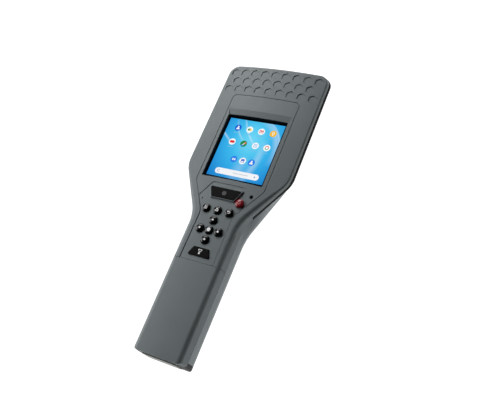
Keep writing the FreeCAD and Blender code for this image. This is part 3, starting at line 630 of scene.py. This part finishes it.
def make_screen():
    """The lit picture and its plain round signs, thin layers on the glass."""
    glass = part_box("display_glass")[1].z / MM

    def layer(name, shapes, level, color):
        material = lit(f"lit_{name}", color)
        print_piece(f"screen_{name}", shapes, lambda x, y: glass, level, ROOT, material)

    picture = [(LIT_LEFT, LIT_LOW), (LIT_RIGHT, LIT_LOW), (LIT_RIGHT, LIT_HIGH), (LIT_LEFT, LIT_HIGH)]
    print_piece(
        "screen_picture", [[picture]], lambda x, y: glass, PICTURE, ROOT,
        make_picture_material(), finest=8.0,
    )
    first, second, dock = FIRST_ROW, SECOND_ROW, DOCK_ROW

    def discs(*places):
        return [[ring_points(ICON_R, 40, *place)] for place in places]

    layer("discs_white", discs(first[1], first[2], second[0], second[2], second[3], dock[1]),
          DISC, srgb(250, 252, 252))
    layer("discs_blue", discs(first[0]), DISC, srgb(28, 98, 216))
    layer("discs_sky", discs(dock[0], dock[2]), DISC, srgb(46, 128, 232))
    layer("disc_yellow", discs(first[3]), DISC, srgb(250, 190, 30))
    layer("disc_green", discs(second[1]), DISC, srgb(36, 140, 72))

    white = person(*first[0]) + person(*dock[2])
    x, y = first[3]
    white += [[ring_points(1.35, 24, x, y + 0.5), ring_points(0.8, 24, x, y + 0.5)]]
    white += [[bar(x, y - 1.5, 1.3, 0.6)]]
    x, y = second[1]
    white += [[bar(x + 0.2, y - 0.2, 0.8, 5.4, -40)]]
    x, y = dock[0]
    white += [[bar(x - 0.85, y, 1.3, 1.9)], [bar(x + 0.95, y, 1.3, 1.9)]]
    layer("signs_white", white, SIGN, srgb(240, 246, 252))

    x, y = first[1]
    green = [(x - 1.9, y - 1.2), (x, y - 1.2), (x, y + 1.7), (x - 1.9, y + 0.4)]
    amber = [(x + 0.2, y - 1.2), (x + 1.9, y - 1.2), (x + 1.9, y + 0.4), (x + 0.2, y + 1.7)]
    layer("signs_green", [[green]], SIGN, srgb(34, 150, 84))
    layer("signs_amber", [[amber]], SIGN, srgb(250, 196, 40))

    x, y = first[2]
    envelope = [(x - 2.0, y - 1.4), (x + 2.0, y - 1.4), (x + 2.0, y + 1.4), (x - 2.0, y + 1.4)]
    paper = [(x - 1.4, y - 0.85), (x + 1.4, y - 0.85), (x + 1.4, y + 0.5), (x, y - 0.1), (x - 1.4, y + 0.5)]
    red = [[envelope, paper], [pill(*second[0], 1.2, 1.3)]]
    x, y = second[1]
    red += [[ring_points(1.0, 24, x + 1.5, y + 0.9)]]
    layer("signs_red", red, SIGN, srgb(222, 52, 46))
    layer("signs_water", [[bar(x - 0.9, y - 1.9, 2.6, 1.1, 10)]], ON_SIGN, srgb(70, 130, 236))

    x, y = second[2]
    blue = [[bar(x, y, 3.4, 3.4), bar(x, y, 2.3, 2.3)], [bar(x, y, 1.0, 1.0)]]
    layer("signs_pale", blue, SIGN, srgb(120, 180, 236))
    x, y = second[3]
    layer("signs_orange", [[arc_band(1.6, 0.75, 0, 180, x, y)]], SIGN, srgb(234, 98, 60))
    layer("signs_teal", [[arc_band(1.6, 0.75, 185, 355, x, y)]], SIGN, srgb(60, 170, 120))
    x, y = dock[1]
    navy = [[bar(x, y - 0.3, 3.4, 2.8), bar(x, y - 0.7, 2.4, 1.2)], [bar(x, y + 1.6, 3.4, 0.7)]]
    layer("signs_navy", navy, SIGN, srgb(48, 92, 200))

    labels = [[bar(px, py - LABEL_DROP, 5.2, 0.75)] for px, py in first + second]
    layer("labels", labels, LABEL, srgb(120, 190, 226))
    layer("search_field", [[pill(0.4, SEARCH_Y, 18.9, 2.95)]], DISC, srgb(244, 246, 250))
    layer("search_hint", [[bar(4.0, SEARCH_Y, 15.0, 0.8)]], SIGN, srgb(206, 210, 218))
    signs = [[arc_band(1.1, 0.5, 30, 330, -18.0, SEARCH_Y)], [pill(18.2, SEARCH_Y, 0.0, 0.8)]]
    layer("search_signs", signs, SIGN, srgb(150, 165, 205))


# -------------------------------------------------------------------------------- bumper

# The band's line: half width and top of the head, the corner where the neck begins, and a
# point at the neck's foot. Then the corners' radii.
BAND_HALF, BAND_TOP, NECK_TOP = 52.4, 141.8, 29.9
FOOT_HALF, FOOT_Y, FOOT_GAP = 25.3, -15.4, 0.35
NECK_ROUND, HEAD_ROUND = 26.0, 10.0

# The band's section: heights, how far the shell behind it leans for each unit of height,
# how far it stands out and reaches in, and how its edges and ends are rounded.
BAND_LOW, BAND_HIGH, PARTING = 17.0, 19.9, 17.5
SIDE_LEAN, TOP_LEAN, NECK_LEAN = 0.368, 0.179, -0.589
BAND_OUT, BAND_INSET, BAND_IN = 0.2, 0.03, 1.22
EDGE_ROUND, END_ROUND, END_SHARE = 0.32, 1.6, 0.12
BAND_STEP, BAND_ROWS = 0.2, 9
RIB_PITCH, RIB_DEPTH, RIB_SLANT = 1.6, 0.15, 0.8


def rounded_path(corners, step):
    """Points and outward normals along a line with rounded corners, evenly spaced."""
    marks = [Vector(corners[0][:2])]
    for before, here, after in zip(corners, corners[1:], corners[2:]):
        p, radius = Vector(here[:2]), here[2]
        back, ahead = (Vector(before[:2]) - p).normalized(), (Vector(after[:2]) - p).normalized()
        half = back.angle(ahead) / 2
        reach = radius / math.tan(half)
        middle = p + (back + ahead).normalized() * (radius / math.sin(half))
        start, end = p + back * reach - middle, p + ahead * reach - middle
        turn = start.angle_signed(end)
        pieces = max(2, int(abs(turn) * radius / step))
        for number in range(pieces + 1):
            marks.append(middle + Matrix.Rotation(-turn * number / pieces, 2) @ start)
    marks.append(Vector(corners[-1][:2]))
    lengths = [0.0]
    for a, b in zip(marks, marks[1:]):
        lengths.append(lengths[-1] + (b - a).length)
    count = int(lengths[-1] / step)
    points, place = [], 0
    for number in range(count + 1):
        target = lengths[-1] * number / count
        while place < len(lengths) - 2 and lengths[place + 1] < target:
            place += 1
        span = max(1e-9, lengths[place + 1] - lengths[place])
        points.append(marks[place].lerp(marks[place + 1], (target - lengths[place]) / span))
    normals = []
    for number in range(len(points)):
        along = points[min(number + 1, len(points) - 1)] - points[max(number - 1, 0)]
        normals.append(Vector((along.y, -along.x)).normalized())
    return points, normals, lengths[-1]


def make_bumper():
    """The black band round the head, with slanted ribs and rounded ends."""
    slope = (BAND_HALF - FOOT_HALF) / (NECK_TOP - FOOT_Y)
    foot_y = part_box("side_bumper")[0].y / MM + FOOT_GAP
    foot_x = FOOT_HALF + (foot_y - FOOT_Y) * slope
    right = [
        (foot_x, foot_y, 0), (BAND_HALF, NECK_TOP, NECK_ROUND), (BAND_HALF, BAND_TOP, HEAD_ROUND),
    ]
    left = [(-x, y, radius) for x, y, radius in reversed(right)]
    points, normals, length = rounded_path(right + left, BAND_STEP)
    middle, full_half = (BAND_LOW + BAND_HIGH) / 2, (BAND_HIGH - BAND_LOW) / 2
    bm = bmesh.new()
    columns = []
    for number, (point, normal) in enumerate(zip(points, normals)):
        run = length * number / (len(points) - 1)
        end_lean = TOP_LEAN if normal.y > 0 else NECK_LEAN
        tilt = SIDE_LEAN * normal.x ** 2 + end_lean * normal.y ** 2
        from_end = min(run, length - run)
        swell = math.sqrt(max(0.0, 1 - max(0.0, 1 - from_end / END_ROUND) ** 2))
        half = full_half * max(END_SHARE, swell)
        column = []
        side = 1 if run < length / 2 else -1
        for row in range(BAND_ROWS):
            share = row / (BAND_ROWS - 1)
            z = middle - half + 2 * half * share
            lean = BAND_OUT - (z - PARTING) * tilt
            phase = (side * (run - length / 2) + RIB_SLANT * (z - BAND_LOW)) / RIB_PITCH
            groove = RIB_DEPTH * (0.5 + 0.5 * math.cos(2 * math.pi * phase)) ** 2
            round_off = EDGE_ROUND * abs(2 * share - 1) ** 5
            place = point + normal * (lean - groove - round_off - BAND_INSET)
            column.append(bm.verts.new((place.x * MM, place.y * MM, z * MM)))
        for z in (middle + half, middle - half):
            place = point - normal * (BAND_IN + (z - PARTING) * SIDE_LEAN)
            column.append(bm.verts.new((place.x * MM, place.y * MM, z * MM)))
        columns.append(column)
    for first, second in zip(columns, columns[1:]):
        for row in range(len(first)):
            after = (row + 1) % len(first)
            bm.faces.new((first[row], first[after], second[after], second[row]))
    bm.faces.new(columns[0])
    bm.faces.new(columns[-1][::-1])
    piece = finish_piece("ribbed_bumper", bm, ROOT, MATERIALS["bumper_rubber"])
    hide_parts("side_bumper")


# ----------------------------------------------------------------------------------- build

make_camera()
make_floor()
make_world()
soft_box("back_left", 122, 32, 9.6)
soft_box("back", 100, 32, 1.2)
soft_box("left", 180, 30, 9.7)
scene.view_settings.view_transform = "Standard"
scene.view_settings.look = "None"
paint_frame()
make_keys()
make_screen()
make_bumper()
